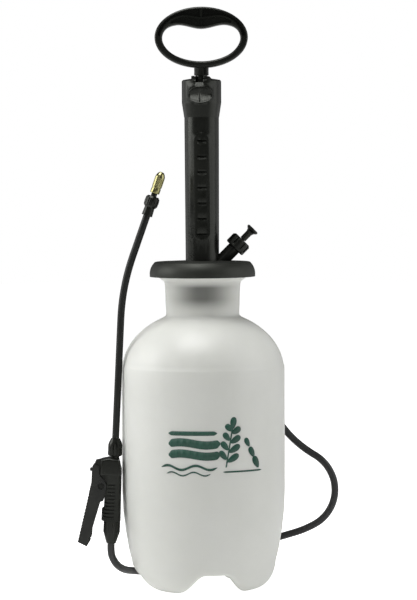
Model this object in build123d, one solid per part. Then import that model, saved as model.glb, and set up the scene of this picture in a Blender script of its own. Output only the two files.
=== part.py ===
from build123d import *
import os
from math import cos, degrees, pi, radians, sin, tan

os.makedirs("parts", exist_ok=True)

# A stand-up compression sprayer. Millimetres, +Z up, front towards -Y. The origin is on the floor, under the
# tank's axis.

# Driving dimensions
HEIGHT = 720.0  # floor to the top of the loop handle
TANK_R = 101.5  # outside of the tank's straight wall
TANK_WALL = 2.6
SHOULDER_Z = 276.0  # where the straight wall ends and the dome starts
DOME_RISE = 76.0  # the dome's half height as an ellipse
NECK_Z = 340.0  # foot of the neck
NECK_R = 45.5
MOUTH_R = 55.0
MOUTH_Z = 388.5
FOOT_ARCH_H = 26.5  # height of the arches between the four feet
FOOT_CLOCK = 9.5  # degrees that the arches are turned from the front
LID_R = 65.5
LID_TOP_Z = 405.5
COLUMN_R = 20.75
COLUMN_TOP_Z = 584.0
CAP_R = 24.4
CAP_TOP_Z = 634.7
CYLINDER_R = 18.8
CYLINDER_BORE = 16.8
ROD_R = 5.0
RUNNING = 0.05  # radial clearance of a running fit
STROKE = 250.0  # travel of the pump rod, with the piston well below the guide at its top
HOSE_R = 4.6
WAND_R = 4.4
WAND_Y = -25.0  # the wand and its shut-off stand a little to the front of the tank's axis


def keep(node, *solids):
    """Write one sub-part to its own file."""
    shape = solids[0] if len(solids) == 1 else Compound(children=list(solids))
    export_step(shape, f"parts/{node}.step")


def turned(*corners):
    """A solid turned about Z, from the (radius, height) corners of its half section."""
    return revolve(make_face(Plane.XZ * Polyline(*corners, close=True)), Axis.Z)


def turned_from(*curves):
    """A solid turned about Z, from curves that close its half section in the X-Z plane."""
    return revolve(make_face([Plane.XZ * curve for curve in curves]), Axis.Z)


def bar(radius, low, high):
    """A round bar on Z."""
    return Pos(0, 0, low) * Cylinder(radius, high - low, align=(Align.CENTER, Align.CENTER, Align.MIN))


def tube(radius, bore, low, high):
    """A round tube on Z."""
    return bar(radius, low, high) - bar(bore, low - 1, high + 1)


def block(low, high):
    """A box from its lowest to its highest corner."""
    size = [b - a for a, b in zip(low, high)]
    return Pos(*low) * Box(*size, align=(Align.MIN, Align.MIN, Align.MIN))


def plate(depth, *corners):
    """A prism on the X-Z plane, as thick as depth, centred on Y."""
    return extrude(make_face(Plane.XZ * Polyline(*corners, close=True)), depth / 2, both=True)


def ring_of(shape, count, first=0.0):
    """Copies of a shape, evenly spaced round Z."""
    return [Rot(0, 0, first + 360 * i / count) * shape for i in range(count)]


def coil(radius, wire, low, high, turns):
    """A compression spring on Z."""
    path = Pos(0, 0, low + wire) * Helix((high - low - 2 * wire) / turns, high - low - 2 * wire, radius)
    return sweep(Plane(path @ 0, z_dir=path % 0) * Circle(wire), path=path, is_frenet=True)


# ---------------------------------------------------------------- tank
# Blow-moulded in one shell: four feet with arches between them, a plain wall, a dome, and a neck that ends in
# a funnel mouth.
DOME_Z = 270.0  # centre height of the dome's ellipse
DOME_R = 101.0


def tank_form(inset):
    """The tank's outer form for inset 0, and the form of its hollow for inset TANK_WALL."""
    foot = [(0, 30 + inset), (15, 30 + inset), (46, inset), (62, inset)]
    wall_foot = (90.5 - inset, 34)
    side = [wall_foot, (97 - inset, 70), (TANK_R - inset, 120), (TANK_R - inset, SHOULDER_Z)]
    dome_r, dome_h = DOME_R - inset, DOME_RISE - inset
    dome = [(dome_r * cos(a), DOME_Z + dome_h * sin(a)) for a in (radians(7), radians(35), radians(62))]
    neck = [(NECK_R - inset, NECK_Z), (NECK_R + 1.5 - inset, 380), (MOUTH_R - inset, 386)]
    neck += [(MOUTH_R - inset, MOUTH_Z + inset), (0, MOUTH_Z + inset)]
    form = turned_from(
        Polyline(*foot),
        ThreePointArc(foot[-1], (82 - inset, 10 + 0.6 * inset), wall_foot),
        Polyline(*side, dome[0]),
        Spline(*dome, (NECK_R - inset, NECK_Z - 1.5), tangents=[(-0.13, 1), (-1, 0.27)]),
        Polyline((NECK_R - inset, NECK_Z - 1.5), *neck, foot[0]),
    )
    half_gap = 38.0
    arch_r = (half_gap**2 + FOOT_ARCH_H**2) / (2 * FOOT_ARCH_H)
    arch = Pos(0, 0, FOOT_ARCH_H - arch_r) * Rot(90, 0, 0) * Cylinder(arch_r + inset, 260)
    arches = Rot(0, 0, FOOT_CLOCK) * arch + Rot(0, 0, FOOT_CLOCK + 90) * arch
    return Rot(0, 0, FOOT_CLOCK + 45) * form - arches


# The outlet sits on the back of the dome, square to its surface.
OUTLET = Plane(origin=(0, 92.8, 300), x_dir=(1, 0, 0), z_dir=(0, 0.8685, 0.4958))
OUTLET_HOLE_R = 6.3

tank = tank_form(0) - tank_form(TANK_WALL)
outlet_pad = OUTLET * bar(14, -4, 1.2)
tank = tank + outlet_pad - OUTLET * bar(OUTLET_HOLE_R, -12, 8)
keep("tank", tank)

# ---------------------------------------------------------------- tank closure
# The pump's threaded plug screws into the neck and squeezes a gasket onto the mouth. The lid covers both.
GASKET_Z = MOUTH_Z + 2.0
PLUG_PLATE = 3.0
PLUG_ROOT_R = 39.5
THREAD_DEPTH = 2.5
PLUG_LOW_Z = 346.0

keep("neck_gasket", tube(MOUTH_R, MOUTH_R - 4.5, MOUTH_Z, GASKET_Z))

plug = turned(
    (PLUG_ROOT_R - 3, PLUG_LOW_Z),
    (PLUG_ROOT_R, PLUG_LOW_Z),
    (PLUG_ROOT_R, GASKET_Z),
    (MOUTH_R + 0.5, GASKET_Z),
    (MOUTH_R + 0.5, GASKET_Z + PLUG_PLATE),
    (CYLINDER_R + 0.05, GASKET_Z + PLUG_PLATE),
    (CYLINDER_R + 0.05, GASKET_Z),
    (PLUG_ROOT_R - 3, GASKET_Z),
)
thread_path = Helix(8, 18, PLUG_ROOT_R)
thread_section = Plane(thread_path @ 0, x_dir=(1, 0, 0), z_dir=thread_path % 0) * make_face(
    Polyline((-0.6, -1.9), (THREAD_DEPTH, -0.9), (THREAD_DEPTH, 0.6), (-0.6, 1.2), close=True)
)
plug = plug + Pos(0, 0, PLUG_LOW_Z + 3) * sweep(thread_section, path=thread_path, is_frenet=True)
keep("threaded_plug", plug)

# The relief valve leans out of the lid at 45 degrees, to the right.
RELIEF = Plane(origin=(20, 0, 402.6), x_dir=(0, 1, 0), z_dir=(1, 0, 1))
RELIEF_BODY_R = 8.35
RELIEF_SEAT_Z = GASKET_Z + PLUG_PLATE + 3.0  # the valve's body stops at the top of the column's foot flange
relief_room = RELIEF * bar(RELIEF_BODY_R, -9, 40) - bar(60, 380, RELIEF_SEAT_Z)

lid = turned_from(
    Polyline((63.0, 387.0), (LID_R, 387.0), (LID_R, 389.0)),
    ThreePointArc((LID_R, 389.0), (64.3, 397.5), (60.6, 403.6)),
    ThreePointArc((60.6, 403.6), (59.4, 404.9), (57.6, LID_TOP_Z)),
    Polyline((57.6, LID_TOP_Z), (26, 406.8), (COLUMN_R + 0.1, 406.8), (COLUMN_R + 0.1, 403.4), (42, 403.4)),
    Polyline((42, 403.4), (42, GASKET_Z + PLUG_PLATE), (44, GASKET_Z + PLUG_PLATE), (44, 403.4)),
    Polyline((44, 403.4), (57.4, 403.0), (60.0, 400.5), (63.0, 391.5), (63.0, 387.0)),
)
lid_seam = Pos(0, 0, LID_TOP_Z + 0.2) * tube(55.2, 54.2, -0.8, 2)
lid = lid - lid_seam - relief_room
keep("lid", lid)

# ---------------------------------------------------------------- pump column
# A tall tapered tube with a finger pad on its front. It stands on the plug and its top spigot takes the cap.
COLUMN_FOOT_Z = GASKET_Z + PLUG_PLATE
COLUMN_TOP_R = 21.4
SPIGOT_R = 20.2
PAD_W = 19.8
PAD_LOW_Z, PAD_HIGH_Z = 431.0, 565.0
PAD_PROUD = 1.3
NOTCH_PITCH = 19.2
NOTCH_W = 11.4

column = turned(
    (19.0, COLUMN_FOOT_Z),
    (30.0, COLUMN_FOOT_Z),
    (30.0, COLUMN_FOOT_Z + 3),
    (COLUMN_R, COLUMN_FOOT_Z + 3),
    (COLUMN_R, LID_TOP_Z),
    (COLUMN_TOP_R, COLUMN_TOP_Z),
    (SPIGOT_R, COLUMN_TOP_Z),
    (SPIGOT_R, COLUMN_TOP_Z + 16),
    (19.0, COLUMN_TOP_Z + 16),
)
pad_face = Pos(0, (PAD_LOW_Z + PAD_HIGH_Z) / 2) * SlotOverall(PAD_HIGH_Z - PAD_LOW_Z, PAD_W, rotation=90)
pad = Pos(0, -12, 0) * extrude(Plane.XZ * pad_face, 30)
pad_form = turned(
    (19.5, PAD_LOW_Z - 9),
    (COLUMN_R + PAD_PROUD, PAD_LOW_Z - 9),
    (COLUMN_TOP_R + PAD_PROUD, PAD_HIGH_Z + 9),
    (19.5, PAD_HIGH_Z + 9),
)
column = column + (pad & pad_form)
pad_front = -(COLUMN_R + PAD_PROUD + 0.6)
for i in range(7):
    ledge_z = PAD_HIGH_Z - 9 - NOTCH_PITCH * i
    width = NOTCH_W if i < 6 else NOTCH_W + 3
    notch = make_face(
        Plane.YZ * Polyline((pad_front, ledge_z), (pad_front + 3.0, ledge_z), (pad_front, ledge_z - 6), close=True)
    )
    column = column - extrude(notch, width / 2, both=True)
column = column - relief_room
keep("column", column)

# The cap screws over the column's spigot. Its top has a notch for the handle's lock lug and a round pocket
# under the rim, in which the lug turns.
LUG_X = -2.6
LUG_LOW_Z, LUG_HIGH_Z = 627.0, 631.0
LUG_R = 10.5
STEM_BORE = 7.9

cap = turned_from(
    Polyline((SPIGOT_R + 0.1, COLUMN_TOP_Z), (COLUMN_TOP_R + 0.2, COLUMN_TOP_Z), (CAP_R, 602), (CAP_R, 627.5)),
    ThreePointArc((CAP_R, 627.5), (23.8, 629.4), (22.0, 630.4)),
    Polyline((22.0, 630.4), (12.4, 632.0), (9.9, CAP_TOP_Z), (STEM_BORE, CAP_TOP_Z), (STEM_BORE, 631.6)),
    Polyline((STEM_BORE, 631.6), (LUG_R + 0.6, 631.6), (LUG_R + 0.6, 626.4), (STEM_BORE, 626.4)),
    Polyline((STEM_BORE, 626.4), (STEM_BORE, 619), (12, 619), (SPIGOT_R + 0.1, 614), (SPIGOT_R + 0.1, COLUMN_TOP_Z)),
)
lug_notch = block((LUG_X - 4.5, -28, 626.4), (LUG_X + 4.5, -5, 640))
stop_bump = fillet(block((-12.6, -4, 629), (-8.2, 4, CAP_TOP_Z + 0.7)).edges().filter_by(Axis.Y), 1.2)
badge_centre = Pos(-1.45, 611.5)
badge_plate = Pos(0, -8, 0) * extrude(Plane.XZ * badge_centre * Ellipse(16.2, 10.8), 30)
badge_inside = Pos(0, -8, 0) * extrude(Plane.XZ * badge_centre * Ellipse(14.6, 9.2), 30)
badge = badge_plate & tube(CAP_R + 0.4, CAP_R - 2, 596, 626)
badge_rim = (badge_plate - badge_inside) & tube(CAP_R + 1.1, CAP_R - 2, 596, 626)
cap = cap + (stop_bump - bar(STEM_BORE, 620, 640)) + badge + badge_rim - lug_notch
keep("column_cap", cap)

# ---------------------------------------------------------------- pump
CYLINDER_LOW_Z, CYLINDER_HIGH_Z = 184.0, 590.0
keep("pump_cylinder", tube(CYLINDER_R, CYLINDER_BORE, CYLINDER_LOW_Z, CYLINDER_HIGH_Z))

guide = turned(
    (ROD_R + RUNNING, 572),
    (CYLINDER_BORE, 572),
    (CYLINDER_BORE, CYLINDER_HIGH_Z),
    (CYLINDER_R, CYLINDER_HIGH_Z),
    (CYLINDER_R, CYLINDER_HIGH_Z + 3),
    (ROD_R + RUNNING, CYLINDER_HIGH_Z + 3),
)
vents = ring_of(Pos(11, 0, 560) * bar(1.5, 0, 40), 6)
keep("rod_guide", guide - vents)

# The end cap carries the check valve: a rubber disc in a cage, pushed up against its seat by the tank's air.
DISC_R = 9.0
CAGE_LOW_Z = 168.0
end_cap = turned(
    (4.0, 178),
    (DISC_R + 1.0, 178),
    (DISC_R + 1.0, CAGE_LOW_Z),
    (DISC_R + 4.0, CAGE_LOW_Z),
    (DISC_R + 4.0, 176),
    (CYLINDER_R + 2.4, 176),
    (CYLINDER_R + 2.4, 204),
    (CYLINDER_R, 204),
    (CYLINDER_R, CYLINDER_LOW_Z),
    (4.0, CYLINDER_LOW_Z),
)
cage_bar = block((-DISC_R - 2, -1.5, CAGE_LOW_Z), (DISC_R + 2, 1.5, CAGE_LOW_Z + 2.5))
keep("cylinder_end_cap", end_cap + cage_bar + Rot(0, 0, 90) * cage_bar)
keep("check_valve_disc", bar(DISC_R, CAGE_LOW_Z + 2.5, CAGE_LOW_Z + 5.5))

# Piston: a head that turns freely on the rod's end, with a cup seal in its groove.
PISTON_LOW_Z, PISTON_HIGH_Z = 226.0, 244.0
SPIGOT = 4.0  # radius of the rod's turned-down end
piston = turned(
    (SPIGOT + RUNNING, PISTON_LOW_Z),
    (16.2, PISTON_LOW_Z),
    (16.2, 231),
    (11.5, 231),
    (11.5, 240),
    (16.2, 240),
    (16.2, PISTON_HIGH_Z),
    (SPIGOT + RUNNING, PISTON_HIGH_Z),
)
keep("piston_head", piston)
cup = turned(
    (11.5, 231),
    (15.2, 231),
    (CYLINDER_BORE - RUNNING, 232.5),
    (CYLINDER_BORE - RUNNING, 239.6),
    (15.4, 239.6),
    (14.6, 234.5),
    (11.5, 234.5),
)
keep("piston_cup", cup)
ROD_TOP_Z = 646.0
PIN_Z = 641.0
PIN_HOLE = Pos(0, 0, PIN_Z) * Rot(0, 90, 0) * Cylinder(1.5, 30)
pump_rod = bar(ROD_R, PISTON_HIGH_Z + 0.3, ROD_TOP_Z) + bar(SPIGOT, 221, PISTON_HIGH_Z + 0.3) - PIN_HOLE
keep("pump_rod", pump_rod)
keep("rod_clip", tube(SPIGOT + 4, SPIGOT, 223.6, 225.6))

# ---------------------------------------------------------------- handle
# One moulding: an oval loop, cored out from the front and the back in its upper half, on a short stem.
LOOP_RISE = 37.5  # half the loop's height
LOOP_Z = HEIGHT - LOOP_RISE
LOOP_R = 57.6
LOOP_DEPTH = 20.0
HOLE_R = 48.4
HOLE_DROP = 29.5
STEM_R = 9.0
STEM_LOW_Z = 636.0


def both_sides(*right):
    """The points of a curve that is the same left and right, from its right end over the centre."""
    return list(right) + [(-x, z) for x, z in reversed(right[:-1])]


finger_line = both_sides((47.0, 688.5), (42.5, 694), (36, 697), (28, 698.2), (14, 695.8), (0, 693.5))
hole_low = [(HOLE_R * cos(radians(a)), LOOP_Z + HOLE_DROP * sin(radians(a))) for a in range(180, 361, 30)]
hole_face = make_face(Plane.XZ * Spline(*finger_line, *hole_low, periodic=True))
loop_face = Plane.XZ * (Pos(0, LOOP_Z) * Ellipse(LOOP_R, LOOP_RISE))
loop = extrude(loop_face - hole_face, LOOP_DEPTH / 2, both=True)
loop = fillet(loop.edges().filter_by(lambda e: abs(e.center().Y) > LOOP_DEPTH / 2 - 0.1), 2.6)

ridge_line = both_sides(
    (50.6, 684), (47.4, 693.6), (42.2, 700.4), (36.5, 704.8), (28.9, 708.2), (20.6, 709.4), (10, 708.2), (0, 706.9)
)
RIM = 2.3
rim_r, rim_h = LOOP_R - 3.6, LOOP_RISE - RIM
rim_end = (rim_r * cos(radians(3)), LOOP_Z + rim_h * sin(radians(3)))
rim_arc = EllipticalCenterArc((0, LOOP_Z), rim_r, rim_h, start_angle=3, arc_size=174)
deep_face = make_face(
    [
        Plane.XZ * rim_arc,
        Plane.XZ * Line((-rim_end[0], rim_end[1]), ridge_line[-1]),
        Plane.XZ * Spline(*ridge_line),
        Plane.XZ * Line(ridge_line[0], rim_end),
    ]
)
shallow_top = both_sides((37, 702.6), (28.6, 706.4), (20.6, 707.7), (10, 706.4), (0, 705.2))
shallow_low = both_sides((37, 699.0), (28, 700.1), (14, 697.7), (0, 695.3))
shallow_face = make_face(
    [
        Plane.XZ * Spline(*shallow_top),
        Plane.XZ * Line(shallow_top[-1], shallow_low[-1]),
        Plane.XZ * Spline(*shallow_low),
        Plane.XZ * Line(shallow_low[0], shallow_top[0]),
    ]
)
WEB = 5.0  # left between the front and the back coring
deep_rib = plate(LOOP_DEPTH - 2, (-2.3, 721), (2.3, 721), (1.0, 706), (-1.0, 706))
shallow_rib = plate(LOOP_DEPTH - 4, (-0.7, 706), (0.7, 706), (0.7, 694), (-0.7, 694))
deep_core = extrude(deep_face, LOOP_DEPTH, both=True) - plate(WEB, (-70, 600), (70, 600), (70, 760), (-70, 760))
shallow_core = extrude(shallow_face, LOOP_DEPTH, both=True) - plate(
    LOOP_DEPTH - 8, (-70, 600), (70, 600), (70, 760), (-70, 760)
)
handle = loop - (deep_core - deep_rib) - (shallow_core - shallow_rib)
stem = bar(STEM_R, STEM_LOW_Z, 650)
stem_groove = block((2.6, -STEM_R - 1, STEM_LOW_Z - 1), (6.6, -STEM_R + 3.4, 645))
handle = handle + (stem - stem_groove - Rot(0, 0, 180) * stem_groove)
handle = handle + bar(STEM_BORE - 0.4, 621, STEM_LOW_Z)
lug = block((LUG_X - 2.7, -LUG_R, LUG_LOW_Z), (LUG_X + 2.7, 0, LUG_HIGH_Z)) & bar(LUG_R, 620, 640)
handle = handle + lug
handle = handle - bar(ROD_R, 600, ROD_TOP_Z) - PIN_HOLE
keep("handle", handle)
pin = Pos(0, 0, PIN_Z) * Rot(0, 90, 0) * Cylinder(1.5, 2 * STEM_R - 1)
keep("rod_pin", pin)

# ---------------------------------------------------------------- relief valve
# Lengths along RELIEF's axis. Pulling the stem lifts its seal off the seat in the body.
SEAT = 6.0
RELIEF_BORE = 4.4
RELIEF_NUT_R = 13.5
NUT_LOW, NUT_HIGH = 27.5, 42.4
PULL_STEM_R = 4.1

relief_body = bar(RELIEF_BODY_R, -9, 31) - bar(RELIEF_BORE, SEAT, 32) - bar(1.6, -20, 20)
keep("relief_body", RELIEF * relief_body - bar(19.0, 380, 430) - bar(60, 380, RELIEF_SEAT_Z))

relief_nut = turned(
    (RELIEF_BODY_R, NUT_LOW),
    (RELIEF_NUT_R - 1.2, NUT_LOW),
    (RELIEF_NUT_R, NUT_LOW + 1.2),
    (RELIEF_NUT_R, NUT_HIGH - 2.4),
    (RELIEF_NUT_R - 2.4, NUT_HIGH),
    (3.4, NUT_HIGH),
    (3.4, 38),
    (RELIEF_BORE, 38),
    (RELIEF_BORE, 31),
    (RELIEF_BODY_R, 31),
)
NUT_SLOTS = 9
for slot in ring_of(block((RELIEF_NUT_R - 2.2, -1.9, NUT_LOW + 4), (RELIEF_NUT_R + 3, 1.9, NUT_HIGH + 1)), NUT_SLOTS):
    relief_nut = relief_nut - slot
keep("relief_nut", RELIEF * relief_nut)

relief_stem = turned(
    (0, SEAT + 2.3),
    (4.0, SEAT + 2.3),
    (4.0, SEAT + 4),
    (2.6, SEAT + 4),
    (2.6, NUT_HIGH + 0.5),
    (PULL_STEM_R, NUT_HIGH + 0.5),
    (PULL_STEM_R, 53.5),
    (5.2, 56.5),
    (7.6, 58.6),
    (8.0, 59.4),
    (8.0, 60.8),
    (6.6, 61.6),
    (0, 61.7),
)
keep("relief_stem", RELIEF * relief_stem)
keep("relief_seal", RELIEF * bar(4.0, SEAT, SEAT + 2.3))
keep("relief_spring", RELIEF * coil(3.55, 0.35, SEAT + 4.2, 37.8, 11))

# ---------------------------------------------------------------- outlet
# An elbow that swivels before it is tightened: it is turned down and to the right, along OUTLET_ARM.
ELBOW_CENTRE = 15.0  # height of the elbow's bend above the tank's skin
ARM_TURN = radians(42)
outlet_x, outlet_side = OUTLET.x_dir, OUTLET.z_dir.cross(OUTLET.x_dir)
arm_dir = outlet_x * cos(ARM_TURN) + outlet_side * sin(ARM_TURN)
OUTLET_ARM = Plane(origin=OUTLET.origin + OUTLET.z_dir * ELBOW_CENTRE, x_dir=OUTLET.z_dir, z_dir=arm_dir)
ARM_LENGTH = 34.0

keep("outlet_gasket", OUTLET * tube(11, OUTLET_HOLE_R, 1.2, 2.7))
elbow = OUTLET * (bar(6.0, -16, 3) + bar(11.5, 2.7, 5.2) + bar(7.6, 5, 21.5))
elbow = elbow + OUTLET_ARM * (bar(6.4, 0, 16) + bar(3.2, 0, 30))
elbow = elbow - OUTLET * bar(3.4, -17, 15) - OUTLET_ARM * bar(2.2, 0, 31)
keep("outlet_elbow", elbow)
lock_nut = extrude(RegularPolygon(10.5, 6), 5) - bar(6.0, -1, 6)
keep("outlet_lock_nut", OUTLET * Pos(0, 0, -9) * lock_nut)
clamp_nut = turned(
    (3.4, 16.5), (8.4, 16.5), (9.4, 17.5), (9.4, 27), (7.2, ARM_LENGTH), (3.4, ARM_LENGTH)
)
for flute in ring_of(Pos(10.1, 0, 15) * bar(1.3, 0, 14), 12):
    clamp_nut = clamp_nut - flute
keep("outlet_hose_nut", OUTLET_ARM * clamp_nut)

# The dip tube hangs from the elbow's inside end and reaches the lowest part of the tank.
DIP_R = 5.0
dip_start = OUTLET.origin - OUTLET.z_dir * 16
dip_bend = dip_start - OUTLET.z_dir * 17
dip_path = FilletPolyline(dip_start, dip_bend, (0, dip_bend.Y + 1, 52), radius=14)
dip = sweep(Plane(dip_path @ 0, z_dir=dip_path % 0) * (Circle(DIP_R) - Circle(DIP_R - 1.2)), path=dip_path)
keep("dip_tube", dip)
strainer = Pos(0, dip_bend.Y + 1, 0) * (tube(7, DIP_R + 0.2, 44, 62) + bar(7, 36, 44.5) - bar(DIP_R - 1.2, 38, 45))
strainer_slot = Pos(0, dip_bend.Y + 1, 0) * block((-9, -0.6, 38), (9, 0.6, 43))
keep("dip_strainer", strainer - strainer_slot)

# ---------------------------------------------------------------- shut-off
# Everything of the wand is modelled upright at the origin and then set in WAND, whose Z is the wand's axis.
LEAN = 2.9
WAND = Plane(origin=(-117.9, WAND_Y, 0), x_dir=(cos(radians(LEAN)), 0, -sin(radians(LEAN))),
             z_dir=(sin(radians(LEAN)), 0, cos(radians(LEAN))))
PIVOT_X, PIVOT_Z = -15.1, 129.4
PIN_R = 3.0
STEM_Z = 149.0  # height of the valve's plunger
GRIP_LOW_Z = 86.6
EAR_HALF = 6.3
CORE_R = 7.2


def cross_bar(radius, low, high, z, bore=0.0):
    """A round bar along X at height z, with a bore where one is given."""
    shape = bar(radius, low, high)
    if bore:
        shape = shape - bar(bore, low - 1, high + 1)
    return Pos(0, 0, z) * Rot(0, 90, 0) * shape


grip = plate(25, (-10.6, GRIP_LOW_Z), (10.5, GRIP_LOW_Z), (9.6, 130), (9.2, 146), (-10.6, 146))
grip = fillet(grip.edges().filter_by(lambda e: abs(e.center().Y) > 12 and e.length > 40), 4.5)
panel = plate(30, (-12, 89), (4.6, 89), (4.6, 139.5), (-12, 139.5)) - plate(23.6, (-14, 80), (8, 80), (8, 150), (-14, 150))
grip = grip - panel
RIB_PITCH = 4.4
for i in range(10):
    slot_z = 91.4 + RIB_PITCH * i
    slot = plate(30, (-9.2, slot_z), (2.6, slot_z), (2.6, slot_z + 2.3), (-9.2, slot_z + 2.3))
    grip = grip - (slot - plate(19.6, (-14, 80), (8, 80), (8, 150), (-14, 150)))
head = plate(27, (-16.6, 143), (9.4, 143), (9.0, 151), (6.6, 159.5), (5.6, 163), (-6.7, 165), (-16.6, 162.4))
head = fillet(head.edges().filter_by(lambda e: abs(e.center().Y) > 13), 3.0)
ear = plate(
    2 * EAR_HALF,
    (-8, 117),
    (-15, 120.5),
    (-21, 125),
    (-22.3, 138),
    (-24.1, 142),
    (-24.3, 157.5),
    (-22.9, 160.8),
    (-16, 162.6),
    (-8, 162.6),
)
cheek_room = plate(40, (-14, 109.0), (-7.4, 109.0), (-7.4, 142.6), (-14, 142.6)) - plate(
    2 * EAR_HALF, (-20, 100), (0, 100), (0, 150), (-20, 150)
)
grip = grip + head - cheek_room + ear
LOCK_LOW_Z, LOCK_HIGH_Z = 85.3, 103.1
lock_window = block((-12, -2.3, 88), (-5, 2.3, 101.8))
lock_room = block((-9.0, -4.3, 87.4), (-7.6, 4.3, 102.4))
core_room = bar(CORE_R + 0.3, GRIP_LOW_Z - 1, 161) + bar(5.75, 160, 170)
core_room = core_room + cross_bar(4.9, -22.3, 0, STEM_Z) + cross_bar(2.6, -30, 0, STEM_Z)
pin_bore = Pos(PIVOT_X, 0, PIVOT_Z) * Rot(90, 0, 0) * Cylinder(PIN_R, 40)
grip = grip - lock_window - lock_room - core_room - pin_bore
keep("grip_front", WAND * split(grip, Plane.XZ, keep=Keep.TOP))
keep("grip_back", WAND * split(grip, Plane.XZ, keep=Keep.BOTTOM))

# The valve body runs from the hose barb to the wand socket, with the plunger's barrel on its left.
NECK_TOP_Z = 172.0
BARREL_BORE = 3.6
core = bar(CORE_R, GRIP_LOW_Z + 3, 161) + bar(5.65, 160, NECK_TOP_Z) + bar(4.0, 66, GRIP_LOW_Z + 4)
core = core + cross_bar(4.6, -22.3, 0, STEM_Z)
core = core - bar(2.4, 65, 136) - bar(4.9, GRIP_LOW_Z + 6, 136) - bar(2.4, 130, STEM_Z) - bar(3.0, STEM_Z, 175)
core = core - cross_bar(BARREL_BORE, -24, 3.6, STEM_Z)
keep("valve_body", WAND * core)
keep("grip_strainer", WAND * tube(4.4, 3.6, GRIP_LOW_Z + 8, 134))
keep("valve_packing", WAND * cross_bar(BARREL_BORE, -21.8, -18.6, STEM_Z, bore=2.0 + RUNNING))
plunger = cross_bar(2.0, -29.0, -2.0, STEM_Z) + cross_bar(3.1, -8.0, -6.6, STEM_Z)
plunger_head = Pos(0, 0, STEM_Z) * Rot(0, 90, 0) * Cone(1.2, 3.4, 1.8, align=(Align.CENTER, Align.CENTER, Align.MIN))
keep("valve_plunger", WAND * (plunger + Pos(-30.0, 0, 0) * plunger_head))
keep("plunger_seal", WAND * cross_bar(BARREL_BORE - RUNNING, -5.0, -2.2, STEM_Z, bore=2.0))
spring = Pos(0, 0, STEM_Z) * Rot(0, 90, 0) * coil(2.75, 0.3, -18.4, -8.2, 7)
keep("plunger_spring", WAND * spring)

# Lever: a channel that straddles the ear. Its outer edge is toothed for the fingers.
LEVER_HALF = 9.2
CHEEK = 2.1
TOOTH_PITCH = 3.9
TOOTH_DEPTH = 1.3
tooth_top, tooth_foot = (-30.2, 118.6), (-41.2, 59.0)
tooth_count = 15
lever_outer = [(-22.5, 155.8), (-25.6, 155.4), (-27.2, 152.6), (-27.3, 134.0), tooth_top]
for i in range(tooth_count):
    share = (i + 0.5) / tooth_count, (i + 1) / tooth_count
    x_in, z_in = [a + (b - a) * share[0] for a, b in zip(tooth_top, tooth_foot)]
    lever_outer += [(x_in + TOOTH_DEPTH, z_in), tuple(a + (b - a) * share[1] for a, b in zip(tooth_top, tooth_foot))]
lever_inner = [(-29.6, 53.9), (-25.4, 61.6), (-27.1, 63.9), (-23.9, 66.5), (-23.9, 75.0), (-15.2, 110.0)]
lever_inner += [(-11.6, 111.2), (-8.9, 124.5), (-8.6, 131.0), (-11.0, 136.5), (-17.6, 142.5), (-19.0, 154.4)]
lever = plate(2 * LEVER_HALF, *lever_outer, *lever_inner)
WEB_WALL = 2.4
hollow = [(x + WEB_WALL, z) for x, z in ((-27.3, 160), (-27.3, 134.0), tooth_top, (-40.0, 62.0))]
lever = lever - plate(2 * (LEVER_HALF - CHEEK), *hollow, (-30.0, 62.0), (0, 62.0), (0, 160))
STEM_SLOT_RISE = 2.2  # the lever's hole for the stem is long, because the hole sinks as the lever turns
lever = lever - cross_bar(2.3, -30, -20, STEM_Z) - cross_bar(2.3, -30, -20, STEM_Z + STEM_SLOT_RISE)
lever = lever - block((-30, -2.3, STEM_Z), (-20, 2.3, STEM_Z + STEM_SLOT_RISE))
for side in (-1, 1):
    boss = Pos(PIVOT_X, side * LEVER_HALF, PIVOT_Z) * Rot(90, 0, 0)
    lever = lever + boss * Cylinder(6.7, 1.4) - boss * Cylinder(4.3, 2.6)
lever = lever - Pos(PIVOT_X, 0, PIVOT_Z) * Rot(90, 0, 0) * Cylinder(PIN_R + RUNNING, 40)
keep("lever", WAND * lever)
pivot_pin = Pos(PIVOT_X, 0, PIVOT_Z) * Rot(90, 0, 0) * Cylinder(PIN_R, 2 * LEVER_HALF - 1.4)
keep("lever_pin", WAND * pivot_pin)

lock_tab = plate(8, (-10.9, LOCK_LOW_Z), (-13.2, LOCK_LOW_Z + 2), (-13.2, LOCK_HIGH_Z - 2), (-10.9, LOCK_HIGH_Z))
lock_neck = block((-11.5, -2.0, 96.6), (-8.2, 2.0, 101.4))
lock_foot = block((-8.7, -3.9, 96.6), (-7.9, 3.9, 101.4))
keep("lock_slide", WAND * (lock_tab + lock_neck + lock_foot))

NUT_LOW_Z = 58.5
hose_nut = turned(
    (4.0, NUT_LOW_Z), (6.0, NUT_LOW_Z), (10.4, 72.7), (10.4, GRIP_LOW_Z), (CORE_R, GRIP_LOW_Z),
    (CORE_R, 84), (4.0, 80)
)
for flute in ring_of(Pos(11.0, 0, 57) * bar(1.3, 0, 27), 14):
    hose_nut = hose_nut - flute
keep("hose_nut", WAND * hose_nut)

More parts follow.
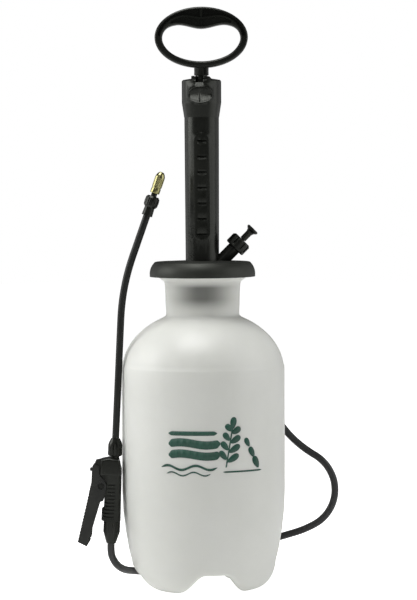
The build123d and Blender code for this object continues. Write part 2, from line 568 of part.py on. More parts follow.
# ---------------------------------------------------------------- hose
# From the nut under the shut-off, down behind the tank, out in a loop at the right and up to the outlet.
hose_start = WAND.from_local_coords(Vector(0, 0, NUT_LOW_Z))
hose_end = OUTLET_ARM.from_local_coords(Vector(0, 0, ARM_LENGTH))
HOSE_ROUTE = [
    hose_start,
    hose_start - WAND.z_dir * 12,
    (-111.9, -19.5, 35.2),
    (-106.5, -8.7, 26.3),
    (-99.5, 10.7, 19.0),
    (-92, 38, 13.5),
    (-76, 65, 8),
    (-50, 88, 5.4),
    (-14, 104, 8),
    (30, 112, 23),
    (74, 109, 38.5),
    (104, 102.5, 47.8),
    (130.3, 96.5, 56.5),
    (154.4, 91.5, 70.5),
    (168.4, 88.5, 94.6),
    (168.4, 88, 122.4),
    (154.4, 89, 146.5),
    (130.3, 93.5, 160.5),
    (109, 100.5, 179),
    (93, 108.5, 201),
    (78.5, 116.5, 224.5),
    (65, 122.5, 248),
    hose_end + arm_dir * 30,
    hose_end,
]
corners = [Vector(*p) if isinstance(p, tuple) else p for p in HOSE_ROUTE]
runs = [b - a for a, b in zip(corners, corners[1:])]
radii = []
for before, after in zip(runs, runs[1:]):
    half_turn = radians(before.get_angle(after) / 2)
    radii.append(0.45 * min(before.length, after.length) / tan(half_turn))
print("hose bend radii, mm:", [round(r) for r in radii])
hose_path = FilletPolyline(*corners, radius=radii)
hose = sweep(Plane(hose_path @ 0, z_dir=hose_path % 0) * Circle(HOSE_R), path=hose_path)
print("hose length", round(hose_path.length, 1), "volume ratio", hose.volume / (pi * HOSE_R**2 * hose_path.length))
keep("hose", hose)

# ---------------------------------------------------------------- wand
collar = turned(
    (5.75, 167), (7.9, 167), (8.9, 168.5), (8.9, 180.5), (8.0, 183.5), (5.6, 188.5), (WAND_R + RUNNING, 188.5),
    (WAND_R + RUNNING, 181), (6.6, 178), (6.6, NECK_TOP_Z), (5.75, NECK_TOP_Z)
)
for flute in ring_of(Pos(9.7, 0, 165) * bar(1.5, 0, 17), 12):
    collar = collar - flute
keep("collar_nut", WAND * collar)
keep("wand_seal", WAND * tube(6.5, WAND_R + RUNNING, NECK_TOP_Z + 0.1, 176.5))

BEND_Z = 376.5
TIP_LEAN = 16.6  # the wand's upper part leans this much more
TIP = Plane(origin=(0, 0, BEND_Z), x_dir=(cos(radians(TIP_LEAN)), 0, -sin(radians(TIP_LEAN))),
            z_dir=(sin(radians(TIP_LEAN)), 0, cos(radians(TIP_LEAN))))
WAND_END = 106.0  # beyond the bend
wand_path = FilletPolyline((0, 0, NECK_TOP_Z + 0.6), (0, 0, BEND_Z), TIP.from_local_coords(Vector(0, 0, WAND_END)),
                           radius=270)
wand = sweep(Plane(wand_path @ 0, z_dir=wand_path % 0) * (Circle(WAND_R) - Circle(WAND_R - 1.4)), path=wand_path)
keep("wand", WAND * wand)

# ---------------------------------------------------------------- nozzle
# A sleeve and a knurled nut hold the nozzle's stem on the wand. The brass cone turns on the stem.
SLEEVE_LOW, NUT_FOOT, NUT_TOP, CONE_FOOT, CONE_TIP = 92.5, 103.5, 117.6, 121.6, 149.0
CONE_BORE = 4.1
sleeve = turned((WAND_R, SLEEVE_LOW), (6.7, SLEEVE_LOW), (6.2, NUT_FOOT), (WAND_R, NUT_FOOT))
keep("wand_sleeve", WAND * TIP * sleeve)
nozzle_nut = turned(
    (WAND_R, NUT_FOOT), (7.0, NUT_FOOT), (8.6, NUT_FOOT + 2.4), (9.0, 110.5), (8.6, NUT_TOP - 2.4), (6.6, NUT_TOP),
    (3.6, NUT_TOP), (3.6, 112), (6.0, 112), (6.0, WAND_END), (WAND_R, WAND_END)
)
for groove in ring_of(Pos(9.6, 0, NUT_FOOT + 1) * bar(1.1, 0, 12), 16):
    nozzle_nut = nozzle_nut - groove
keep("nozzle_nut", WAND * TIP * nozzle_nut)
stem_outline = [(1.3, WAND_END), (5.9, WAND_END), (5.9, 112), (3.6, 112), (3.6, 130), (2.2, 131), (2.2, 136)]
nozzle_stem = turned(*stem_outline, (0, 138.5), (0, 132), (1.3, 131))
keep("nozzle_stem", WAND * TIP * nozzle_stem)
keep("nozzle_seal", WAND * TIP * tube(CONE_BORE - RUNNING, 3.6 + RUNNING, 126, 128.2))
cone = turned_from(
    Polyline((CONE_BORE, CONE_FOOT), (5.5, CONE_FOOT), (5.9, CONE_FOOT + 0.6), (5.9, 128), (5.4, 128.4), (5.4, 129.4),
             (6.1, 129.8), (6.1, 138.5)),
    Spline((6.1, 138.5), (5.4, 144.5), (3.4, 148.0), (0.6, CONE_TIP), tangents=[(0, 1), (-1, 0)]),
    Polyline((0.6, CONE_TIP), (0.6, 142), (2.8, 139), (CONE_BORE, 137), (CONE_BORE, CONE_FOOT)),
)
for groove in ring_of(Pos(6.35, 0, 131) * bar(0.5, 0, 10), 18):
    cone = cone - groove
keep("nozzle", WAND * TIP * cone)
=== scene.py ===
import math

import bmesh
import bpy
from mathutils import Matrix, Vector


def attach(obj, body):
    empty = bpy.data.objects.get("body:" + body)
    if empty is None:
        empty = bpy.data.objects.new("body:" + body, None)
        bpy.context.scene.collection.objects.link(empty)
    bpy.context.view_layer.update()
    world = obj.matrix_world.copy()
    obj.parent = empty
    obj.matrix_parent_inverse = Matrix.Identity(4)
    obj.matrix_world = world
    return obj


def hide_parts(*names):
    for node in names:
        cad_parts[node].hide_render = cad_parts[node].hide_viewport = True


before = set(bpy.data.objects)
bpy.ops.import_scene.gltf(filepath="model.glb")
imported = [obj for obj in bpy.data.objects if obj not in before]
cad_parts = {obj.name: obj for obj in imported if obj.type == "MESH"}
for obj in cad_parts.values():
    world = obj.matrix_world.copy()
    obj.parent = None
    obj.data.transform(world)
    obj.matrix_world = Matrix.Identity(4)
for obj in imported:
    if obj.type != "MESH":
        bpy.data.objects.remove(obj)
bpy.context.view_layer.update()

# ---------------------------------------------------------------- studio
# A white floor in white surroundings, with square soft boxes: a large one overhead, one on each side, a
# faint one behind each side and a fainter one in front. The camera stands three metres off, level with
# the pump column.
STAND_OFF = 3.0
EYE_HEIGHT = 0.505
AIM_X = 0.0081
LENS = 145.0
SENSOR = 36
FAR_LIMIT = 60
PITCH = math.radians(2.812)
ROLL = math.radians(0.3)
WHITE = (1, 1, 1, 1)
SURROUND_LIGHT = 0.09  # how strongly the surroundings light the sprayer, while the camera sees them as white
FLOOR_RADIUS = 9.0
FLOOR_GREY = 0.74
FLOOR_ROUGHNESS = 0.9
FLOOR_LIGHT = 0.30  # the same for the glow of the floor
SPRAYER_MIDDLE = (0, 0, 0.36)

camera_data = bpy.data.cameras.new("camera")
camera_data.lens = LENS
camera_data.sensor_width = SENSOR
camera_data.clip_end = FAR_LIMIT
camera = bpy.data.objects.new("camera", camera_data)
camera.location = (AIM_X, -STAND_OFF, EYE_HEIGHT)
camera.rotation_euler = (math.radians(90) - PITCH, ROLL, 0)
bpy.context.scene.collection.objects.link(camera)
bpy.context.scene.camera = camera
bpy.context.scene.view_settings.view_transform = "Standard"


def white_to_camera(tree, light, strength):
    """Feed a strength that is full where the camera looks, and only light where other rays arrive."""
    ray = tree.nodes.new("ShaderNodeLightPath")
    share = tree.nodes.new("ShaderNodeMapRange")
    share.inputs["To Min"].default_value = light
    share.inputs["To Max"].default_value = 1.0
    tree.links.new(ray.outputs["Is Camera Ray"], share.inputs["Value"])
    tree.links.new(share.outputs["Result"], strength)


world = bpy.data.worlds.new("studio")
world.use_nodes = True
bpy.context.scene.world = world
background = world.node_tree.nodes["Background"]
background.inputs["Color"].default_value = WHITE
white_to_camera(world.node_tree, SURROUND_LIGHT, background.inputs["Strength"])


def soft_box(name, place, aim, size, watts):
    """A square area light at place that faces aim."""
    light = bpy.data.lights.new(name, "AREA")
    light.size = size
    light.energy = watts
    lamp = bpy.data.objects.new(name, light)
    lamp.location = place
    lamp.rotation_euler = (Vector(aim) - Vector(place)).to_track_quat("-Z", "Y").to_euler()
    bpy.context.scene.collection.objects.link(lamp)


soft_box("overhead", (-0.30, -0.50, 2.3), (0, 0, 0.35), size=1.3, watts=36)
soft_box("left", (-1.8, -0.15, 1.05), SPRAYER_MIDDLE, size=1.2, watts=20)
soft_box("behind left", (-2.2, 1.5, 0.8), SPRAYER_MIDDLE, size=1.7, watts=6)
soft_box("behind right", (2.2, 1.5, 0.8), SPRAYER_MIDDLE, size=1.7, watts=4)
soft_box("right", (1.9, -0.45, 0.95), SPRAYER_MIDDLE, size=1.8, watts=15)
soft_box("front", (-0.9, -2.6, 1.9), (0, 0, 0.3), size=0.9, watts=2.5)

floor_mesh = bpy.data.meshes.new("floor")
floor_shape = bmesh.new()
bmesh.ops.create_circle(floor_shape, cap_ends=True, segments=96, radius=FLOOR_RADIUS)
floor_shape.to_mesh(floor_mesh)
floor_shape.free()
floor = bpy.data.objects.new("floor", floor_mesh)
bpy.context.scene.collection.objects.link(floor)
floor_paint = bpy.data.materials.new("floor_paint")
floor_paint.use_nodes = True
floor_shader = floor_paint.node_tree.nodes["Principled BSDF"]
floor_shader.inputs["Base Color"].default_value = (FLOOR_GREY, FLOOR_GREY, FLOOR_GREY, 1)
floor_shader.inputs["Roughness"].default_value = FLOOR_ROUGHNESS
floor_shader.inputs["Emission Color"].default_value = WHITE
white_to_camera(floor_paint.node_tree, FLOOR_LIGHT, floor_shader.inputs["Emission Strength"])
floor_mesh.materials.append(floor_paint)

# ---------------------------------------------------------------- tank
# One blow-moulded shell of natural polyethylene, satin outside, that lets light through. It has four feet
# with arches between them, a plain wall, a dome, and a neck that flares into the mouth under the lid.
TANK_R = 0.1015
TANK_WALL = 0.0026
DOME_Z, DOME_R, DOME_RISE = 0.270, 0.101, 0.076
MOUTH_R, MOUTH_Z = 0.055, 0.3885
FOOT_CLOCK = math.radians(9.5)
ARCH_HEIGHT = 0.0265  # each arch has a level top and two smooth flanks
ARCH_TOP, ARCH_FOOT = 0.012, 0.045  # half widths where the flank starts and where it ends
ARCH_BLEND = 0.009  # how softly an arch runs out into the wall and the floor of the tank
FEET_TOP = 0.06  # no arch reaches this height
FEET_REACH = 0.03  # the feet are brought down to the floor below this height
TURN_STEPS = 180
NECK_SHOW = 0.78  # how much of the light goes straight through the band of the neck
BAND_FOOT, BAND_HEAD = (0.343, 0.362), (0.383, 0.374)  # where the band fades in and out, from none to full


def make_grain_group():
    """Fine moulded grain and slow blotches, both from Object coordinates."""
    tree = bpy.data.node_groups.new("Moulded grain", "ShaderNodeTree")
    for name, value in (("Grain Scale", 900.0), ("Blotch Scale", 14.0)):
        socket = tree.interface.new_socket(name, in_out="INPUT", socket_type="NodeSocketFloat")
        socket.default_value = value
    for name in ("Height", "Blotch"):
        tree.interface.new_socket(name, in_out="OUTPUT", socket_type="NodeSocketFloat")
    given = tree.nodes.new("NodeGroupInput")
    result = tree.nodes.new("NodeGroupOutput")
    coords = tree.nodes.new("ShaderNodeTexCoord")
    grain = tree.nodes.new("ShaderNodeTexNoise")
    grain.inputs["Detail"].default_value = 3.0
    blotch = tree.nodes.new("ShaderNodeTexNoise")
    blotch.inputs["Detail"].default_value = 5.0
    blotch.inputs["Roughness"].default_value = 0.6
    tree.links.new(coords.outputs["Object"], grain.inputs["Vector"])
    tree.links.new(coords.outputs["Object"], blotch.inputs["Vector"])
    tree.links.new(given.outputs["Grain Scale"], grain.inputs["Scale"])
    tree.links.new(given.outputs["Blotch Scale"], blotch.inputs["Scale"])
    tree.links.new(grain.outputs["Fac"], result.inputs["Height"])
    tree.links.new(blotch.outputs["Fac"], result.inputs["Blotch"])
    return tree


GRAIN = make_grain_group()


def finish_of(name, dark, light, rough, metallic=0.0, grain=900.0, depth=0.00004, blotch=14.0, **sockets):
    """A finish whose colour and roughness drift slowly between two values, over a fine moulded grain."""
    material = bpy.data.materials.new(name)
    material.use_nodes = True
    nodes, links = material.node_tree.nodes, material.node_tree.links
    shader = nodes["Principled BSDF"]
    group = nodes.new("ShaderNodeGroup")
    group.node_tree = GRAIN
    group.inputs["Grain Scale"].default_value = grain
    group.inputs["Blotch Scale"].default_value = blotch
    colour = nodes.new("ShaderNodeMix")
    colour.data_type = "RGBA"
    colour.inputs["A"].default_value = (*dark, 1)
    colour.inputs["B"].default_value = (*light, 1)
    spread = nodes.new("ShaderNodeMapRange")
    spread.inputs["From Min"].default_value = 0.35
    spread.inputs["From Max"].default_value = 0.65
    links.new(group.outputs["Blotch"], spread.inputs["Value"])
    links.new(spread.outputs["Result"], colour.inputs["Factor"])
    links.new(colour.outputs["Result"], shader.inputs["Base Color"])
    gloss = nodes.new("ShaderNodeMapRange")
    gloss.inputs["From Min"].default_value = 0.3
    gloss.inputs["From Max"].default_value = 0.7
    gloss.inputs["To Min"].default_value = rough[0]
    gloss.inputs["To Max"].default_value = rough[1]
    links.new(group.outputs["Blotch"], gloss.inputs["Value"])
    links.new(gloss.outputs["Result"], shader.inputs["Roughness"])
    shader.inputs["Metallic"].default_value = metallic
    bump = nodes.new("ShaderNodeBump")
    bump.inputs["Distance"].default_value = depth
    bump.inputs["Strength"].default_value = 1.0
    links.new(group.outputs["Height"], bump.inputs["Height"])
    links.new(bump.outputs["Normal"], shader.inputs["Normal"])
    for socket, value in sockets.items():
        shader.inputs[socket.replace("_", " ").title().replace("Ior", "IOR")].default_value = value
    return material


tank_poly = finish_of(
    "tank_polyethylene", (0.70, 0.71, 0.655), (0.74, 0.75, 0.695), (0.36, 0.44), grain=420.0, depth=0.00005,
    blotch=9.0, subsurface_weight=0.8, subsurface_scale=0.008,
)
tank_poly.node_tree.nodes["Principled BSDF"].inputs["Subsurface Radius"].default_value = (1.0, 1.0, 0.95)


def height_ramp(material, low, high, coords):
    """A node that goes smoothly from 0 at one height to 1 at another."""
    ramp = material.node_tree.nodes.new("ShaderNodeMapRange")
    ramp.interpolation_type = "SMOOTHSTEP"
    ramp.inputs["From Min"].default_value = low
    ramp.inputs["From Max"].default_value = high
    material.node_tree.links.new(coords.outputs["Z"], ramp.inputs["Value"])
    return ramp


# The neck is blown thin, so the dark plug inside shows through a band of it.
tank_nodes, tank_links = tank_poly.node_tree.nodes, tank_poly.node_tree.links
tank_coords = tank_nodes.new("ShaderNodeTexCoord")
tank_height = tank_nodes.new("ShaderNodeSeparateXYZ")
tank_links.new(tank_coords.outputs["Object"], tank_height.inputs["Vector"])
band_foot = height_ramp(tank_poly, *BAND_FOOT, tank_height)
band_head = height_ramp(tank_poly, *BAND_HEAD, tank_height)
band = tank_nodes.new("ShaderNodeMath")
band.operation = "MULTIPLY"
tank_links.new(band_foot.outputs["Result"], band.inputs[0])
tank_links.new(band_head.outputs["Result"], band.inputs[1])
slant = tank_nodes.new("ShaderNodeLayerWeight")  # a slanting look goes through more of the milky wall
slant.inputs["Blend"].default_value = 0.5
clear = tank_nodes.new("ShaderNodeMath")
clear.operation = "SUBTRACT"
clear.inputs[0].default_value = 1.0
tank_links.new(slant.outputs["Facing"], clear.inputs[1])
clear_squared = tank_nodes.new("ShaderNodeMath")
clear_squared.operation = "POWER"
clear_squared.inputs[1].default_value = 2.0
tank_links.new(clear.outputs["Value"], clear_squared.inputs[0])
see_through = tank_nodes.new("ShaderNodeMath")
see_through.operation = "MULTIPLY"
tank_links.new(band.outputs["Value"], see_through.inputs[0])
tank_links.new(clear_squared.outputs["Value"], see_through.inputs[1])
opacity = tank_nodes.new("ShaderNodeMapRange")
opacity.inputs["To Min"].default_value = 1.0
opacity.inputs["To Max"].default_value = 1.0 - NECK_SHOW
tank_links.new(see_through.outputs["Value"], opacity.inputs["Value"])
tank_links.new(opacity.outputs["Result"], tank_nodes["Principled BSDF"].inputs["Alpha"])


def arch_height(across):
    """How high an arch stands over the floor, at a distance from its middle line."""
    share = (abs(across) - ARCH_TOP) / (ARCH_FOOT - ARCH_TOP)
    return ARCH_HEIGHT * (0.5 + 0.5 * math.cos(math.pi * min(max(share, 0.0), 1.0)))


def soft_max(a, b, blend):
    """The larger of two values, with the corner between them rounded."""
    gap = max(blend - abs(a - b), 0.0) / blend
    return max(a, b) + gap**2 * blend / 4


def new_piece(name, shape, material, body):
    """A mesh object from a bmesh, smooth over its gentle edges, that rides on a body."""
    mesh = bpy.data.meshes.new(name)
    shape.to_mesh(mesh)
    shape.free()
    mesh.materials.append(material)
    mesh.shade_smooth()
    piece = bpy.data.objects.new(name, mesh)
    bpy.context.scene.collection.objects.link(piece)
    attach(piece, body)
    return piece


def lathe(outline, steps):
    """A surface turned about Z from its half section, a list of (radius, height)."""
    shape = bmesh.new()
    chain = [shape.verts.new((r, 0, z)) for r, z in outline]
    edges = [shape.edges.new(pair) for pair in zip(chain, chain[1:])]
    bmesh.ops.spin(
        shape, geom=chain + edges, cent=(0, 0, 0), axis=(0, 0, 1), angle=math.tau, steps=steps,
        use_merge=True,
    )
    bmesh.ops.remove_doubles(shape, verts=shape.verts, dist=1e-6)
    bmesh.ops.recalc_face_normals(shape, faces=shape.faces)
    return shape


def along(corners, counts):
    """Points on straight runs between corners, each in its own count of steps, without the last corner."""
    return [
        tuple(p + (q - p) * i / count for p, q in zip(a, b))
        for a, b, count in zip(corners, corners[1:], counts)
        for i in range(count)
    ]


# The half section, from the raised middle of the underside out over the feet and up to the mouth.
underside = along([(0.0, 0.028), (0.020, 0.028), (0.046, 0.001), (0.060, 0.0)], (5, 12, 6))
foot_round = [(0.060 + 0.0298 * math.sin(a), 0.034 * (1 - math.cos(a)))
              for a in (math.radians(4.3 * i) for i in range(20))]
flank = along([(0.090, 0.0335), (0.0936, 0.048), (0.0973, 0.070), (0.1003, 0.095), (TANK_R, 0.120),
               (TANK_R, 0.2752)], (6, 8, 6, 6, 6))
shoulder = [(TANK_R, 0.2752), (TANK_R - 0.00035, 0.2768)]
dome = [(DOME_R * math.cos(a), DOME_Z + DOME_RISE * math.sin(a))
        for a in (math.radians(7 + 2.15 * i) for i in range(26))]
neck = [(0.0467, 0.3382), (0.0458, 0.3392), (0.0456, 0.3410)] + along([(0.0456, 0.344), (0.047, 0.380)], (6,))
mouth = [(0.0474, 0.3808), (0.0500, 0.3828), (0.0530, 0.3848), (0.0545, 0.3858), (MOUTH_R, 0.3866),
         (MOUTH_R, MOUTH_Z)]
shape = lathe(underside + foot_round + flank + shoulder + dome + neck + mouth, TURN_STEPS)
for vert in shape.verts:
    if vert.co.z < FEET_TOP:
        x, y = vert.co.x, vert.co.y
        first = arch_height(x * math.cos(FOOT_CLOCK) + y * math.sin(FOOT_CLOCK))
        second = arch_height(y * math.cos(FOOT_CLOCK) - x * math.sin(FOOT_CLOCK))
        arch = soft_max(first, second, ARCH_BLEND)
        vert.co.z = soft_max(vert.co.z, arch, ARCH_BLEND)
low = min(vert.co.z for vert in shape.verts)
for vert in shape.verts:
    vert.co.z -= low * max(1 - vert.co.z / FEET_REACH, 0.0)
tank = new_piece("tank_shell", shape, tank_poly, "tank")
wall = tank.modifiers.new("wall", "SOLIDIFY")
wall.thickness = TANK_WALL
wall.offset = -1
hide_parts("tank")

# ---------------------------------------------------------------- print
# One green ink screened on the front of the wall: a straight band, two broad waves and two thin ones on
# the left, and a sprig with three drops over a ground line on the right. Each form is drawn flat, by its
# place round the wall and its height, and then laid on the wall.
PRINT_PROUD = 0.00012
INK_SHARE = 0.9  # the film is this much of what it stands proud
BAND_STEPS = 40
LEAF_STEPS = 24
STEM_FOOT, STEM_HEAD = (0.028, 0.160), (0.036, 0.206)
STEM_STEPS = 10
STEM_HALF = 0.0009
LEAF_SPREAD = 0.85  # radians between a leaf and the stem
DROP_SLANT = math.radians(118)
CUT_EVERY = 0.002  # the forms are cut this often, so that they bend with the wall
CUT_SHIFT = 0.0003
print_ink = finish_of("green_ink", (0.0015, 0.048, 0.028), (0.0028, 0.062, 0.038), (0.34, 0.46), grain=700.0,
                      depth=0.00002, blotch=60.0)
print_shape = bmesh.new()


def print_form(outline):
    """Add one closed flat form, given by its corners round the wall and up."""
    print_shape.faces.new([print_shape.verts.new((u, 0, z)) for u, z in outline])


def print_band(left, right, height, width, wave=0.0, length=1.0):
    """Add a band that tapers at both ends and waves up and down, with one wave in each length."""
    steps = [i / BAND_STEPS for i in range(BAND_STEPS + 1)]
    middle = [(left + (right - left) * t, height + wave * math.sin(math.tau * (right - left) * t / length))
              for t in steps]
    half = [width / 2 * min(1.0, 0.2 + 14 * t, 0.2 + 14 * (1 - t)) for t in steps]
    lower = [(u, z - h) for (u, z), h in zip(middle, half)]
    upper = [(u, z + h) for (u, z), h in zip(middle, half)]
    for i in range(BAND_STEPS):
        print_form([lower[i], lower[i + 1], upper[i + 1], upper[i]])


def print_leaf(foot, angle, length, width):
    """Add a leaf that grows from its foot at an angle from the horizontal."""
    edge = []
    for i in range(LEAF_STEPS):
        turn = math.tau * i / LEAF_STEPS
        out = length * (0.5 - 0.5 * math.cos(turn))
        side = width / 2 * math.sin(turn) * (1.0 - 0.25 * math.cos(turn))
        edge.append((foot[0] + out * math.cos(angle) - side * math.sin(angle),
                     foot[1] + out * math.sin(angle) + side * math.cos(angle)))
    print_form(edge)


def up_stem(share):
    """The point at a share of the way up the stem."""
    return [a + (b - a) * share for a, b in zip(STEM_FOOT, STEM_HEAD)]


print_band(-0.043, 0.017, height=0.2015, width=0.0052)
print_band(-0.043, 0.021, height=0.1890, width=0.0100, wave=0.0018, length=0.064)
print_band(-0.043, 0.021, height=0.1755, width=0.0100, wave=0.0018, length=0.064)
print_band(-0.053, 0.017, height=0.1600, width=0.0030, wave=0.0026, length=0.035)
print_band(-0.046, 0.009, height=0.1525, width=0.0018, wave=0.0022, length=0.0275)
for i in range(STEM_STEPS):
    low_end, high_end = up_stem(i / STEM_STEPS), up_stem((i + 1) / STEM_STEPS)
    print_form([(low_end[0] - STEM_HALF, low_end[1]), (low_end[0] + STEM_HALF, low_end[1]),
                (high_end[0] + STEM_HALF, high_end[1]), (high_end[0] - STEM_HALF, high_end[1])])
stem_rise = math.atan2(STEM_HEAD[1] - STEM_FOOT[1], STEM_HEAD[0] - STEM_FOOT[0])
print_leaf(STEM_HEAD, stem_rise, 0.015, 0.0080)
for i, leaf_length in enumerate((0.017, 0.0165, 0.015, 0.013)):
    u, z = up_stem(0.14 + 0.25 * i)
    print_leaf((u + 0.0006, z), stem_rise - LEAF_SPREAD, leaf_length, 0.0078)
    print_leaf((u - 0.0006, z + 0.003), stem_rise + LEAF_SPREAD, leaf_length * 0.8, 0.0072)
for u, z, size in ((0.0560, 0.1900, 0.0060), (0.0625, 0.1780, 0.0070), (0.0690, 0.1655, 0.0080)):
    print_leaf((u + size * 0.5, z - size), DROP_SLANT, size * 2.0, size * 1.1)
print_band(0.024, 0.078, height=0.1545, width=0.0020)

for i in range(-32, 45):  # from beyond the left end of the print to beyond its right end
    bmesh.ops.bisect_plane(
        print_shape, geom=print_shape.verts[:] + print_shape.edges[:] + print_shape.faces[:],
        plane_co=(CUT_EVERY * i + CUT_SHIFT, 0, 0), plane_no=(1, 0, 0),
    )
bmesh.ops.recalc_face_normals(print_shape, faces=print_shape.faces)
for face in print_shape.faces:
    if face.normal.y > 0:
        face.normal_flip()
for vert in print_shape.verts:
    turn = vert.co.x / TANK_R
    vert.co.x = (TANK_R + PRINT_PROUD) * math.sin(turn)
    vert.co.y = -(TANK_R + PRINT_PROUD) * math.cos(turn)
tank_print = new_piece("tank_print", print_shape, print_ink, "tank")
ink_film = tank_print.modifiers.new("film", "SOLIDIFY")
ink_film.thickness = PRINT_PROUD * INK_SHARE
ink_film.offset = -1

# ---------------------------------------------------------------- lid, column and cap
# Black polypropylene mouldings: the lid over the neck and the threaded plug under it, the tall column
# with its ribbed pad, and the cap that closes the column's top.
CRISP_TURN = math.radians(28)  # an edge that turns more than this stays crisp, and may be rounded
FLAT_TURN = math.radians(0.4)  # facets that turn less than this are joined into one face
BADGE_TURN = math.radians(0.01)  # the same on the cap, which keeps nearly all its facets
LID_EDGE, COLUMN_EDGE, MOULDED_EDGE, FINE_EDGE = 0.0005, 0.0004, 0.0003, 0.0002  # widths of rounded edges
GREENISH = (0.97, 1.0, 0.91, 1)
black_plastic = finish_of(
    "black_polypropylene", (0.0040, 0.0045, 0.0036), (0.0066, 0.0072, 0.0060), (0.25, 0.33), grain=1500.0,
    depth=0.00003, blotch=30.0, specular_ior_level=0.31, specular_tint=GREENISH,
)
lid_plastic = finish_of(
    "lid_polypropylene", (0.010, 0.011, 0.009), (0.015, 0.016, 0.0135), (0.44, 0.54), grain=1100.0,
    depth=0.00004, blotch=26.0, specular_ior_level=0.4, specular_tint=GREENISH,
)


def dressed(node, body, material, rounding=0.0, flat_turn=FLAT_TURN):
    """A smooth copy of a moulded or machined node, with crisp edges slightly rounded, that stands for it."""
    shape = bmesh.new()
    shape.from_mesh(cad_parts[node].data)
    bmesh.ops.remove_doubles(shape, verts=shape.verts, dist=2e-6)
    bmesh.ops.dissolve_limit(
        shape, angle_limit=flat_turn, verts=shape.verts, edges=shape.edges, use_dissolve_boundaries=False,
    )
    piece = new_piece(node + "_finished", shape, material, body)
    piece.data.set_sharp_from_angle(angle=CRISP_TURN)
    if rounding:
        edge = piece.modifiers.new("edges", "BEVEL")
        edge.width = rounding
        edge.segments = 2
        edge.limit_method = "ANGLE"
        edge.angle_limit = CRISP_TURN
        edge.harden_normals = True
    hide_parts(node)


dressed("lid", "pump_head", lid_plastic, rounding=LID_EDGE)
dressed("column", "pump_head", black_plastic, rounding=COLUMN_EDGE)
dressed("column_cap", "pump_head", black_plastic, flat_turn=BADGE_TURN)
dressed("threaded_plug", "pump_head", black_plastic)

# ---------------------------------------------------------------- pump
# The plastic cylinder hangs from the column into the tank, with a rubber disc valve at its foot. The
# steel rod, with its pin and clip, slides in a bush and drives a piston with a rubber cup. A rubber
# gasket seals the neck.
cylinder_plastic = finish_of("cylinder_plastic", (0.030, 0.030, 0.031), (0.036, 0.036, 0.037), (0.30, 0.40))
seal_rubber = finish_of("seal_rubber", (0.016, 0.016, 0.016), (0.022, 0.022, 0.022), (0.62, 0.78),
                        grain=1200.0)
rod_steel = finish_of("drawn_steel", (0.54, 0.54, 0.54), (0.62, 0.62, 0.62), (0.24, 0.36), metallic=1.0,
                      grain=1800.0, depth=0.00001, blotch=60.0)
spring_steel = finish_of("spring_wire", (0.50, 0.50, 0.51), (0.58, 0.58, 0.59), (0.22, 0.34), metallic=1.0,
                         grain=2000.0, depth=0.00001, blotch=90.0)
dressed("pump_cylinder", "pump_head", cylinder_plastic)
dressed("rod_guide", "pump_head", black_plastic)
dressed("cylinder_end_cap", "pump_head", black_plastic)
dressed("check_valve_disc", "check_valve", seal_rubber)
dressed("piston_head", "piston", black_plastic)
dressed("piston_cup", "piston", seal_rubber)
dressed("neck_gasket", "neck_seal", seal_rubber)
dressed("pump_rod", "handle", rod_steel)
dressed("rod_clip", "handle", rod_steel)
dressed("rod_pin", "handle", rod_steel)

# ---------------------------------------------------------------- handle
# One black polypropylene moulding: an oval loop, cored out in its upper half, on a short stem. The stem
# is pinned to the rod, and a quarter turn locks it in the cap.
dressed("handle", "handle", black_plastic, rounding=MOULDED_EDGE)

# ---------------------------------------------------------------- relief valve
# A black body that leans out of the lid at 45 degrees, with a ribbed nut on its end. The stem carries a
# rubber seal and is pulled out by its trumpet flange, against a steel spring.
dressed("relief_body", "pump_head", black_plastic, rounding=MOULDED_EDGE)
dressed("relief_nut", "pump_head", black_plastic, rounding=COLUMN_EDGE)
dressed("relief_spring", "pump_head", spring_steel)
dressed("relief_stem", "relief_stem", black_plastic, rounding=MOULDED_EDGE)
dressed("relief_seal", "relief_stem", seal_rubber)

# ---------------------------------------------------------------- outlet
# A black elbow through the back of the dome, held by a nut inside over a rubber gasket. The hose is
# clamped on it outside, and a pale dip tube with a strainer hangs from it inside.
dip_poly = finish_of("dip_polyethylene", (0.60, 0.62, 0.58), (0.66, 0.68, 0.64), (0.34, 0.44))
strainer_poly = finish_of("strainer_plastic", (0.58, 0.59, 0.56), (0.64, 0.65, 0.62), (0.40, 0.50))
dressed("outlet_gasket", "tank", seal_rubber)
dressed("outlet_elbow", "tank", black_plastic, rounding=MOULDED_EDGE)
dressed("outlet_lock_nut", "tank", black_plastic, rounding=MOULDED_EDGE)
dressed("outlet_hose_nut", "tank", black_plastic, rounding=MOULDED_EDGE)
dressed("dip_tube", "tank", dip_poly)
dressed("dip_strainer", "tank", strainer_poly)

# ---------------------------------------------------------------- shut-off
# Two black grip shells round a valve body with a strainer, a packing and a spring. The lever turns on a pin
# and pulls the plunger, a small tab slides to lock it, and the nuts hold the hose below and the wand above.
lever_plastic = finish_of("lever_polypropylene", (0.011, 0.012, 0.010), (0.018, 0.019, 0.016), (0.34, 0.44),
                          grain=900.0, depth=0.00006, blotch=60.0, specular_ior_level=0.35)
for node in ("grip_front", "grip_back"):
    dressed(node, "tank", black_plastic, rounding=MOULDED_EDGE)
dressed("valve_body", "tank", black_plastic)
dressed("grip_strainer", "tank", strainer_poly)
dressed("valve_packing", "tank", seal_rubber)
dressed("valve_plunger", "plunger", black_plastic)
dressed("plunger_seal", "plunger", seal_rubber)
dressed("plunger_spring", "tank", spring_steel)
dressed("lever", "lever", lever_plastic, rounding=MOULDED_EDGE)
dressed("lever_pin", "tank", black_plastic, rounding=MOULDED_EDGE)
dressed("lock_slide", "lock_slide", black_plastic, rounding=MOULDED_EDGE)
dressed("hose_nut", "tank", black_plastic, rounding=MOULDED_EDGE)
dressed("collar_nut", "tank", black_plastic, rounding=MOULDED_EDGE)
dressed("wand_seal", "tank", seal_rubber)

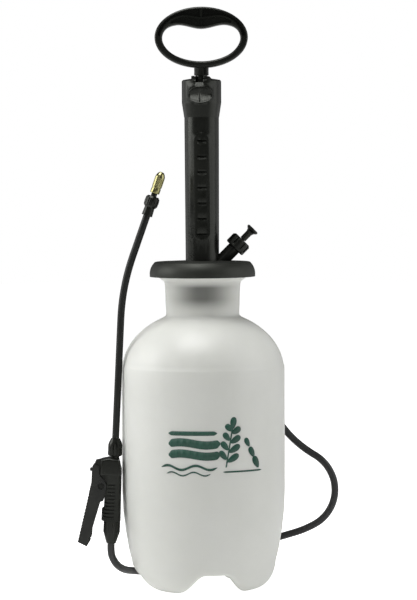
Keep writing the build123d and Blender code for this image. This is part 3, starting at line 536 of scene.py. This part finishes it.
# ---------------------------------------------------------------- hose
# One length of black vinyl hose from the nut under the shut-off, down to the floor behind the tank, out
# in a loop on the right and up to the outlet on the back of the dome. It leaves both fittings along their
# own axes.
HOSE_DIAMETER = 0.0092
HOSE_ROUTE = [
    (-0.114941, -0.025, 0.058425),
    (-0.115548, -0.025, 0.04644),
    (-0.1119, -0.0195, 0.0352),
    (-0.1065, -0.0087, 0.0263),
    (-0.0995, 0.0107, 0.0190),
    (-0.092, 0.038, 0.0135),
    (-0.076, 0.065, 0.008),
    (-0.050, 0.088, 0.0054),
    (-0.014, 0.104, 0.008),
    (0.030, 0.112, 0.023),
    (0.074, 0.109, 0.0385),
    (0.104, 0.1025, 0.0478),
    (0.1303, 0.0965, 0.0565),
    (0.1544, 0.0915, 0.0705),
    (0.1684, 0.0885, 0.0946),
    (0.1684, 0.088, 0.1224),
    (0.1544, 0.089, 0.1465),
    (0.1303, 0.0935, 0.1605),
    (0.109, 0.1005, 0.179),
    (0.093, 0.1085, 0.201),
    (0.0785, 0.1165, 0.2245),
    (0.065, 0.1225, 0.248),
    (0.0476, 0.1271, 0.2703),
    (0.0253, 0.1171, 0.2877),
]
hose_vinyl = finish_of("hose_vinyl", (0.010, 0.010, 0.0105), (0.014, 0.014, 0.0145), (0.34, 0.46),
                       grain=700.0, depth=0.00003, blotch=40.0)
hose_curve = bpy.data.curves.new("hose_line", "CURVE")
hose_curve.dimensions = "3D"
hose_curve.bevel_depth = HOSE_DIAMETER / 2
hose_curve.bevel_resolution = 6
hose_curve.resolution_u = 12
hose_curve.use_fill_caps = True
line = hose_curve.splines.new("NURBS")
line.points.add(len(HOSE_ROUTE) - 1)
for point, place in zip(line.points, HOSE_ROUTE):
    point.co = (*place, 1)
line.order_u = 3
line.use_endpoint_u = True
hose_curve.materials.append(hose_vinyl)
hose = bpy.data.objects.new("hose_line", hose_curve)
bpy.context.scene.collection.objects.link(hose)
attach(hose, "tank")
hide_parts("hose")

# ---------------------------------------------------------------- wand and nozzle
# A bent black tube with a sleeve and a knurled nut at its end. The brass cone nozzle is screwed on the
# stem in that nut, over a rubber seal, and moves out as it turns.
nozzle_brass = finish_of("nozzle_brass", (0.28, 0.26, 0.11), (0.42, 0.40, 0.20), (0.16, 0.28), metallic=1.0,
                         grain=1600.0, depth=0.00001, blotch=90.0)
wand_plastic = finish_of("wand_plastic", (0.0072, 0.0080, 0.0066), (0.0108, 0.0118, 0.0100), (0.38, 0.50),
                         grain=1100.0, depth=0.00002, blotch=45.0, specular_ior_level=0.3)
dressed("wand", "wand", wand_plastic)
dressed("wand_sleeve", "wand", black_plastic, rounding=FINE_EDGE)
dressed("nozzle_nut", "wand", black_plastic, rounding=MOULDED_EDGE)
dressed("nozzle_stem", "wand", black_plastic)
dressed("nozzle_seal", "nozzle_seal", seal_rubber)
dressed("nozzle", "nozzle", nozzle_brass, rounding=FINE_EDGE)
